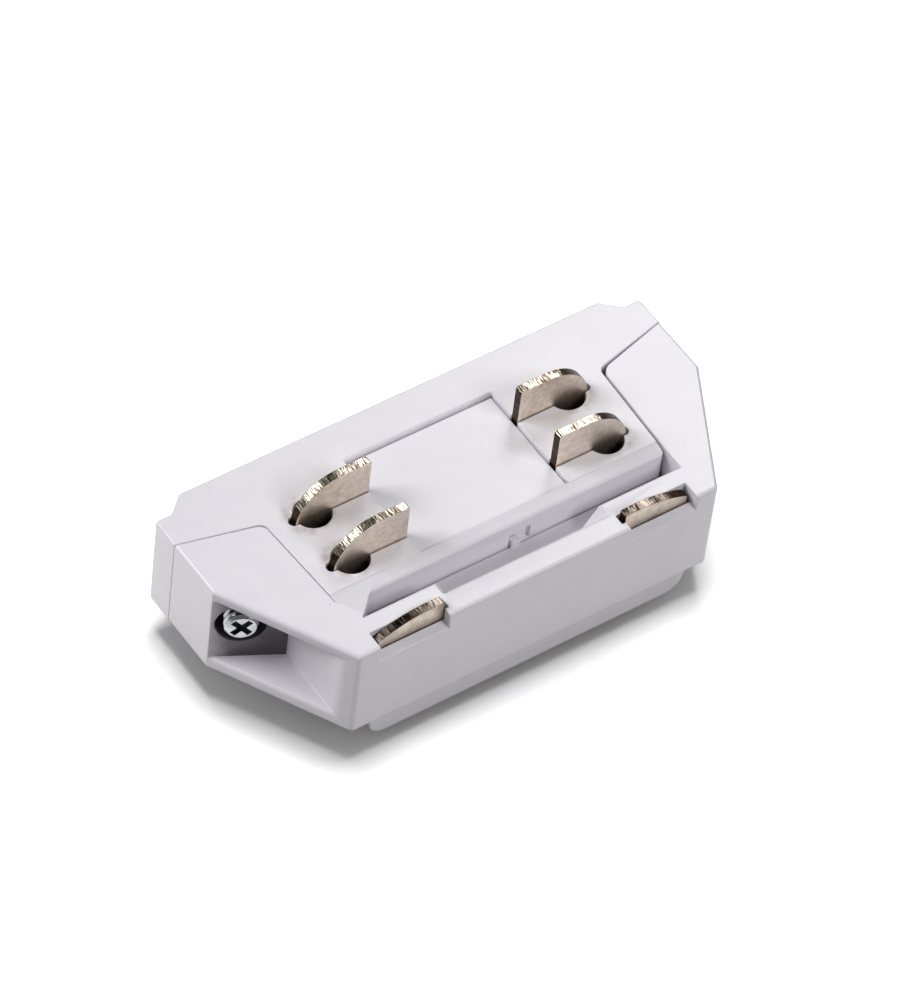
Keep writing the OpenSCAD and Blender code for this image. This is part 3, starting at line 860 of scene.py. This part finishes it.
@dataclass
class StampedStrips:
    """The five stamped strips: satin rolled faces, and sheared edges with a slight rounding.

    A face is rolled, curved to the right or upright at the left by how much of its normal points that way.
    """

    edge_round: float = 0.07
    rolled_from: float = 0.8
    curved_from: float = 0.3
    upright_from: float = 0.9
    bodies: dict = field(default_factory=lambda: {
        "contact_top_back": "line_top_back", "contact_top_front": "line_top_front",
        "contact_bottom_back": "line_bottom_back", "contact_bottom_front": "line_bottom_front",
        "earth_contact": "earth"})

    def finish(self, face: bpy.types.MeshPolygon) -> int:
        """Choose the finish of a face.

        Args:
            face: The face.

        Returns:
            0 for rolled faces, 1 for sheared edges and 2 for the darker ones.
        """
        normal = face.normal
        if abs(normal.y) > self.rolled_from:
            return 0
        return 2 if normal.x > self.curved_from or normal.x < -self.upright_from else 1

    def build(self, rolled: dict, sheared: dict, darker_edges: bpy.types.Material) -> None:
        """Build and dress the strips.

        Args:
            rolled: Finish of a strip's two faces, by the name of its node, or by "" for the others.
            sheared: Finish of its edges, by the same names.
            darker_edges: Finish of the edges at its right-hand curves and at its upright ends.
        """
        for node, body in self.bodies.items():
            piece = merged_copy(node, node + "_strip")
            round_edges(piece, lambda one, other: self.edge_round, segments=2)
            for material in (rolled.get(node, rolled[""]), sheared.get(node, sheared[""]), darker_edges):
                piece.data.materials.append(material)
            for face in piece.data.polygons:
                face.material_index = self.finish(face)
            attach(piece, body)
            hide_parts(node)
            log.info("%s: %d faces", piece.name, len(piece.data.polygons))


def sweep_turn(name: str, wire: float, radius: float, start: float, turns: float, level: float,
               rise: float) -> bpy.types.Object:
    """Sweep a round wire round the upright axis.

    Args:
        name: Name of the piece.
        wire: Diameter of the wire.
        radius: Radius of the coil, to the wire's middle.
        start: Angle in turns at which it starts.
        turns: How many turns it makes.
        level: Height at which it starts.
        rise: How much it climbs.

    Returns:
        The swept wire, open at both ends.
    """
    deselect_all()
    bpy.ops.mesh.primitive_circle_add(vertices=WIRE_SIDES, radius=wire / 2 * MM,
                                      location=(radius * MM, 0, level * MM), rotation=(math.pi / 2, 0, 0))
    piece = bpy.context.object
    piece.name = name
    bpy.ops.object.transform_apply(location=True, rotation=True, scale=True)
    winding = piece.modifiers.new("winding", "SCREW")
    winding.angle = turns * math.tau
    winding.screw_offset = rise * MM
    winding.steps = winding.render_steps = max(round(turns * COIL_STEPS), 3)
    winding.use_merge_vertices = False
    apply_modifiers(piece)
    place(piece, Matrix.Rotation(start * math.tau, 4, "Z"))
    return piece


@dataclass
class CoilSpring:
    """A compression spring of round wire with closed ends, modelled at one fixed height, though its contact
    presses it together.

    Each closed end climbs end_pitch times the wire's thickness in a turn, so its turns nearly touch.
    """

    name: str
    node: str
    joint: str
    at: tuple[float, float]
    seat: float
    height: float
    radius: float
    wire: float
    turns: float
    travel: float
    hangs: bool = False
    end_turns: float = 0.75
    end_pitch: float = 0.8

    def build(self, steel: bpy.types.Material) -> None:
        """Build and dress the spring.

        Args:
            steel: Finish of the wire.
        """
        closed = self.end_turns
        end_rise = self.end_pitch * self.wire * closed
        middle = self.turns - 2 * closed
        low = self.wire / 2
        reach = self.radius - self.wire / 2
        climb = self.height - self.wire - 2 * end_rise
        parts = [
            sweep_turn(self.name, self.wire, reach, 0, closed, low, end_rise),
            sweep_turn("rise", self.wire, reach, closed, middle, low + end_rise, climb),
            sweep_turn("close", self.wire, reach, closed + middle, closed, low + end_rise + climb, end_rise)]
        deselect_all()
        for part in parts:
            part.select_set(True)
        bpy.context.view_layer.objects.active = parts[0]
        bpy.ops.object.join()
        spring = bpy.context.object
        bpy.ops.object.mode_set(mode="EDIT")
        bpy.ops.mesh.select_all(action="SELECT")
        bpy.ops.mesh.remove_doubles(threshold=COIL_WELD * MM)
        bpy.ops.mesh.select_all(action="DESELECT")
        bpy.ops.mesh.select_non_manifold()
        bpy.ops.mesh.edge_face_add()
        bpy.ops.mesh.select_all(action="SELECT")
        bpy.ops.mesh.normals_make_consistent(inside=False)
        bpy.ops.object.mode_set(mode="OBJECT")
        up = Matrix.Rotation(math.pi, 4, "X") if self.hangs else Matrix.Identity(4)
        place(spring, Matrix.Translation(Vector((*self.at, self.seat)) * MM) @ up)
        bpy.ops.object.shade_smooth_by_angle(angle=SMOOTH_WIRE)
        spring.data.materials.append(steel)
        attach(spring, "housing")
        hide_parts(self.node)
        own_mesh(spring)
        log.info("%s: %d faces", spring.name, len(spring.data.polygons))


def springs() -> list[CoilSpring]:
    """List the ten springs: one under each line horn and two under the earth strip.

    Returns:
        The springs, not yet built.
    """
    listed = []
    for face in Face:
        for row in Row:
            for side in Side:
                key = f"{face.name}_{row.name}_{side.name}".lower()
                listed.append(CoilSpring(
                    name="coil_" + key, node="spring_" + key, joint=f"press_{face.name}_{row.name}".lower(),
                    at=(side.value * WELL_X, row.value), seat=MIDDLE + face.value * LINE_SEAT,
                    hangs=face is Face.BOTTOM, **LINE_SPRING))
    for side in Side:
        key = side.name.lower()
        listed.append(CoilSpring(
            name="coil_earth_" + key, node="earth_spring_" + key, joint="press_earth",
            at=(side.value * EARTH_SPRING_X, EARTH_SPRING_Y), seat=EARTH_SEAT, **EARTH_SPRING))
    return listed


def extruded_outline(name: str, points: list[tuple[float, float, float]]) -> bpy.types.Object:
    """Draw an open outline by extruding one vertex from point to point.

    Args:
        name: Name of the piece.
        points: The outline's points.

    Returns:
        A piece of edges only, with its place in its mesh.
    """
    places = [Vector(point) * MM for point in points]
    deselect_all()
    bpy.ops.mesh.primitive_plane_add(size=MM, location=places[0])
    piece = bpy.context.object
    piece.name = name
    bpy.ops.object.transform_apply(location=True, rotation=True, scale=True)
    bpy.ops.object.mode_set(mode="EDIT")
    bpy.ops.mesh.select_mode(type="VERT")
    bpy.ops.mesh.select_all(action="SELECT")
    bpy.ops.mesh.merge(type="CENTER")
    for here, ahead in zip(places, places[1:]):
        bpy.ops.mesh.extrude_region_move(TRANSFORM_OT_translate={"value": ahead - here})
    bpy.ops.object.mode_set(mode="OBJECT")
    return piece


def threaded_rod(name: str, crest: float, root: float, pitch: float, length: float) -> bpy.types.Object:
    """Turn a closed rod with an outer thread along Z, from below z = 0 to above its length.

    Args:
        name: Name of the piece.
        crest: Outer radius of the thread.
        root: Radius at the bottom of the thread.
        pitch: Distance between two threads.
        length: Length that has to be covered.

    Returns:
        The rod, closed at both ends.
    """
    flank = FLANK_SHARE * pitch
    half = CREST_SHARE * pitch
    rod = extruded_outline(name, [
        (root, 0, -2 * pitch), (crest, 0, flank - 2 * pitch), (crest, 0, half - 2 * pitch),
        (root, 0, half + flank - 2 * pitch), (root, 0, -pitch)])
    thread = rod.modifiers.new("thread", "SCREW")
    thread.angle = math.tau
    thread.screw_offset = pitch * MM
    thread.iterations = math.ceil(length / pitch) + SPARE_TURNS
    thread.steps = thread.render_steps = THREAD_STEPS
    thread.use_merge_vertices = True
    thread.merge_threshold = TURN_WELD * MM
    apply_modifiers(rod)
    take(rod)
    bpy.ops.object.mode_set(mode="EDIT")
    for level, keep_above in ((-half, True), (length + half, False)):
        bpy.ops.mesh.select_all(action="SELECT")
        bpy.ops.mesh.bisect(plane_co=(0, 0, level * MM), plane_no=(0, 0, 1), use_fill=True,
                            clear_inner=keep_above, clear_outer=not keep_above, threshold=CUT_SLACK * MM)
    bpy.ops.mesh.select_all(action="SELECT")
    bpy.ops.mesh.remove_doubles(threshold=WELD * MM)
    bpy.ops.mesh.fill_holes(sides=8)
    bpy.ops.mesh.normals_make_consistent(inside=False)
    bpy.ops.object.mode_set(mode="OBJECT")
    return rod


def cut(piece: bpy.types.Object, tool: bpy.types.Object, how: Cut) -> None:
    """Combine a piece with a tool solid and drop the tool.

    Args:
        piece: The piece.
        tool: The solid that it is cut with.
        how: Which part of the piece stays.
    """
    cutting = piece.modifiers.new("cutting", "BOOLEAN")
    cutting.operation = how.value
    cutting.object = tool
    cutting.solver = "EXACT"
    apply_modifiers(piece)
    bpy.data.objects.remove(tool)


def screw_frame(side: Side, along: float) -> Matrix:
    """Find where a set screw's axis lies.

    Args:
        side: End of the connector.
        along: Distance from the screw pocket's back wall along the axis, towards the back edge.

    Returns:
        A placing whose Z runs along the screw, away from its head end.
    """
    axis = Vector((-side.value * math.sin(SCREW_ANGLE), math.cos(SCREW_ANGLE), 0))
    start = Vector((side.value * SCREW_START[0], *SCREW_START[1:]))
    level = Vector((0, 0, 1))
    turn = Matrix((level.cross(axis), level, axis)).transposed().to_4x4()
    return Matrix.Translation((start + along * axis) * MM) @ turn


@dataclass
class SetScrew:
    """A set screw with a rolled M4 thread, a cross slot in its head end and a coned tip."""

    side: Side
    # Sizes of the thread, which is drawn with flat crests, and of the rod
    radius: float = 2.0
    thread_root: float = 1.62
    pitch: float = 0.7
    length: float = 17.44
    stands_out: float = 0.6
    head_chamfer: float = 0.3
    tip_chamfer: float = 0.8
    slot_width: float = 0.8
    slot_length: float = 2.9
    slot_depth: float = 1.5
    # Degrees that the slot is turned about the screw's axis, as in the photograph
    turned: float = 45.0
    blank_wider: float = 0.03
    blank_sides: int = 48

    def blank(self) -> bpy.types.Object:
        """Model the rod before its thread is rolled: a cylinder, a hair wider, with both ends turned down.

        Returns:
            The blank, which the threaded rod is cut to.
        """
        deselect_all()
        bpy.ops.mesh.primitive_cylinder_add(
            vertices=self.blank_sides, radius=(self.radius + self.blank_wider) * MM, depth=self.length * MM,
            location=(0, 0, self.length / 2 * MM))
        blank = bpy.context.object
        bpy.ops.object.transform_apply(location=True, rotation=True, scale=True)
        for level, chamfer in ((0.0, self.head_chamfer), (self.length, self.tip_chamfer)):
            take(blank)
            bpy.ops.object.mode_set(mode="EDIT")
            bpy.ops.mesh.select_all(action="DESELECT")
            bpy.ops.object.mode_set(mode="OBJECT")
            for edge in blank.data.edges:
                heights = [blank.data.vertices[i].co.z / MM for i in edge.vertices]
                edge.select = all(abs(z - level) < FLUSH for z in heights)
            bpy.ops.object.mode_set(mode="EDIT")
            bpy.ops.mesh.select_mode(type="EDGE")
            bpy.ops.mesh.bevel(offset=chamfer * MM, segments=1)
            bpy.ops.object.mode_set(mode="OBJECT")
        return blank

    def build(self, steel: bpy.types.Material) -> None:
        """Build and dress the screw.

        Args:
            steel: Finish of the screw.
        """
        name = f"set_screw_m4_{self.side.name.lower()}"
        screw = threaded_rod(name, self.radius, self.thread_root, self.pitch, self.length)
        cut(screw, self.blank(), Cut.KEEP_INSIDE)
        for quarter in range(2):
            deselect_all()
            bpy.ops.mesh.primitive_cube_add(size=MM)
            blade = bpy.context.object
            blade.scale = (self.slot_length, self.slot_width, 2 * self.slot_depth)
            place(blade, Matrix.Rotation(quarter * math.pi / 2, 4, "Z") @ Matrix.Diagonal((*blade.scale, 1)))
            cut(screw, blade, Cut.TAKE_AWAY)
        turned = Matrix.Rotation(math.radians(self.turned), 4, "Z")
        place(screw, screw_frame(self.side, -self.stands_out) @ turned)
        bpy.ops.object.shade_smooth_by_angle(angle=SMOOTH_TURNED)
        screw.data.materials.clear()
        screw.data.materials.append(steel)
        side = self.side.name.lower()
        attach(screw, "set_screw_" + side)
        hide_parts("screw_" + side)
        log.info("%s: %d faces", screw.name, len(screw.data.polygons))


@dataclass
class SquareNut:
    """A square nut with a threaded bore, whose corners are turned to a cone."""

    side: Side
    width: float = 7.0
    thickness: float = 3.2
    bore: float = 2.05
    thread_depth: float = 0.22
    pitch: float = 0.7
    # Distance of its middle from the pocket's back wall, along the screw
    along: float = 7.242
    # Radii of the cone at the nut's two faces
    cone_wide: float = 5.52
    cone_narrow: float = 4.27
    cone_sides: int = 64
    edge_round: float = 0.12

    def build(self, steel: bpy.types.Material) -> None:
        """Build and dress the nut.

        Args:
            steel: Finish of the nut.
        """
        deselect_all()
        bpy.ops.mesh.primitive_cube_add(size=MM)
        nut = bpy.context.object
        nut.name = f"square_nut_m4_{self.side.name.lower()}"
        place(nut, Matrix.Diagonal((self.width, self.width, self.thickness, 1)))
        bpy.ops.mesh.primitive_cone_add(
            vertices=self.cone_sides, radius1=self.cone_wide * MM, radius2=self.cone_narrow * MM,
            depth=self.thickness * MM)
        cut(nut, bpy.context.object, Cut.KEEP_INSIDE)
        round_edges(nut, lambda one, other: self.edge_round, segments=2)
        rod = threaded_rod("tap", self.bore + self.thread_depth, self.bore, self.pitch, self.thickness)
        place(rod, Matrix.Translation((0, 0, -self.thickness / 2 * MM)))
        cut(nut, rod, Cut.TAKE_AWAY)
        place(nut, screw_frame(self.side, self.along))
        bpy.ops.object.shade_smooth_by_angle(angle=SMOOTH_TURNED)
        nut.data.materials.clear()
        nut.data.materials.append(steel)
        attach(nut, "housing")
        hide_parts(f"nut_{self.side.name.lower()}")
        log.info("%s: %d faces", nut.name, len(nut.data.polygons))


@dataclass(frozen=True)
class Lamp:
    """A square area lamp: its place, the point that it faces, its side in millimetres and its watts.

    With no reach it lights everything, and with sheen_only it shows in reflections but lights no matt face.
    """

    name: str
    at: tuple[float, float, float]
    aim: tuple[float, float, float]
    size: float
    power: float
    reach: Reach | None = None
    sheen_only: bool = False

    def build(self) -> bpy.types.Object:
        """Hang the lamp.

        Returns:
            The lamp.
        """
        data = bpy.data.lights.new(self.name, "AREA")
        data.size = self.size * MM
        data.energy = self.power
        lamp = bpy.data.objects.new(self.name, data)
        bpy.context.scene.collection.objects.link(lamp)
        lamp.location = Vector(self.at) * MM
        ahead = Vector(self.aim) * MM - Vector(self.at) * MM
        lamp.rotation_euler = ahead.to_track_quat("-Z", "Y").to_euler()
        lamp.visible_diffuse = not self.sheen_only
        return lamp


@dataclass
class Studio:
    """Pale floor, soft lamps and the photograph's camera.

    The camera, and what shines or lets light through, see the floor as shown, brighter than any real card,
    so it comes out white. The light that it throws back up is that of the plain grey.
    """

    # Place in millimetres, angles in degrees and focal length, solved from the part's straight edges
    camera_at: tuple[float, float, float] = (-297.6, -349.1, 552.6)
    azimuth: float = -40.25
    elevation: float = 49.51
    roll: float = 7.71
    lens: float = 220.8
    floor_side: float = 4000.0
    floor_shown: float = 1.7
    floor_plain: float = 0.25
    sky: float = 0.22
    lamps: tuple[Lamp, ...] = (
        Lamp("left", (-305, 225, 315), (0, 0, 10), 240, 1.6, Reach.CONNECTOR),
        Lamp("front", (170, -380, 400), (0, 0, 10), 220, 1.22, Reach.CONNECTOR),
        Lamp("floor_wash", (10, 50, 450), (0, 0, 0), 200, 1.5, Reach.FLOOR),
        Lamp("sheen_card", (240, 175, 270), (25, 0, 15), 150, 0.78, sheen_only=True))

    def camera(self) -> None:
        """Place the camera at the photograph's viewing angle and distance."""
        a, e, r = (math.radians(v) for v in (self.azimuth, self.elevation, self.roll))
        forward = Vector((-math.sin(a) * math.cos(e), math.cos(a) * math.cos(e), -math.sin(e)))
        level = forward.cross(Vector((0, 0, 1))).normalized()
        upright = level.cross(forward)
        right = math.cos(r) * level + math.sin(r) * upright
        up = right.cross(forward)
        data = bpy.data.cameras.new("camera")
        data.lens = self.lens
        camera = bpy.data.objects.new("camera", data)
        bpy.context.scene.collection.objects.link(camera)
        turn = Matrix((right, up, -forward)).transposed().to_4x4()
        camera.matrix_world = Matrix.Translation(Vector(self.camera_at) * MM) @ turn
        bpy.context.scene.camera = camera

    def floor(self) -> bpy.types.Object:
        """Lay the floor at the height of the lower contact tips.

        Returns:
            The floor.
        """
        deselect_all()
        bpy.ops.mesh.primitive_plane_add(size=self.floor_side * MM, location=(0, 0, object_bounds()[0][2]))
        floor = bpy.context.object
        floor.name = "floor"
        material, tree, shader = new_material("white_card")
        seen = add_node(tree, "ShaderNodeLightPath")
        shiny = add_node(tree, "ShaderNodeMath", {"operation": "MAXIMUM"}, {
            0: seen.outputs["Is Camera Ray"], 1: seen.outputs["Is Glossy Ray"]})
        plain = add_node(tree, "ShaderNodeBsdfDiffuse", None, {"Color": (*[self.floor_plain] * 3, 1.0)})
        shown = add_node(tree, "ShaderNodeBsdfDiffuse", None, {"Color": (*[self.floor_shown] * 3, 1.0)})
        clear = add_node(tree, "ShaderNodeMath", {"operation": "MAXIMUM"}, {
            0: shiny.outputs[0], 1: seen.outputs["Is Transmission Ray"]})
        mix = add_node(tree, "ShaderNodeMixShader", None, {
            0: clear.outputs[0], 1: plain.outputs[0], 2: shown.outputs[0]})
        tree.links.new(mix.outputs[0], tree.nodes["Material Output"].inputs["Surface"])
        tree.nodes.remove(shader)
        floor.data.materials.append(material)
        floor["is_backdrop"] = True
        return floor

    def light(self, floor: bpy.types.Object) -> None:
        """Hang the lamps, and say which of them light the floor alone and which all but the floor.

        Args:
            floor: The floor.
        """
        groups = {}
        for reach in Reach:
            groups[reach] = bpy.data.collections.new("floor_" + reach.value.lower())
            groups[reach].objects.link(floor)
            groups[reach].collection_objects[0].light_linking.link_state = reach.value
        for lamp in self.lamps:
            hung = lamp.build()
            if lamp.reach:
                hung.light_linking.receiver_collection = groups[lamp.reach]

    def world(self) -> None:
        """Fill the surroundings with even white light."""
        world = bpy.data.worlds.new("studio")
        world.use_nodes = True
        background = world.node_tree.nodes["Background"]
        background.inputs["Color"].default_value = (1.0, 1.0, 1.0, 1.0)
        background.inputs["Strength"].default_value = self.sky
        bpy.context.scene.world = world

    def build(self) -> None:
        """Build the whole studio."""
        self.camera()
        floor = self.floor()
        self.world()
        self.light(floor)
        bpy.context.scene.view_settings.view_transform = "Standard"


def main() -> None:
    """Build the pieces and the studio."""
    # The key rail's greyer white is painted shade under the front face's overhang
    grey = MouldedWhite(name="key_rail_shaded_white", colour="#dcdae1", colour_low="#d0ced5").material()
    # The spring wells and the screw pockets get painted shade, darker deeper in
    Housing().build(MouldedWhite().material(), grey, ShadedWell().material(), ShadedPocket().material())
    earth = RolledNickel(name="rolled_nickel_dull", colour="#c4b8ac", colour_low="#a2958a").material()
    # A darker copy of the sheared finish, for edges that turn to the right and for upright ends
    darker_edges = ShearedNickel(
        name="darker_sheared_nickel", bright="#42311f", dark="#160e08", roughness=0.32).material()
    # A darker copy of the sheared finish for the earth strip's edges
    dark_earth_edges = ShearedNickel(name="darker_sheared_earth", bright="#73685f", dark="#140d0a", roughness=0.3).material()
    StampedStrips().build({"": RolledNickel().material(), "earth_contact": earth},
                          {"": ShearedNickel().material(), "earth_contact": dark_earth_edges}, darker_edges)
    wire = TurnedSteel(name="drawn_wire", colour="#b9babd", colour_low="#85888d", roughness=0.28).material()
    for spring in springs():
        spring.build(wire)
    steel = TurnedSteel(colour_low="#686b72").material()
    for side in Side:
        SetScrew(side).build(steel)
        SquareNut(side).build(steel)
    Studio().build()


if __name__ == "__main__":
    main()
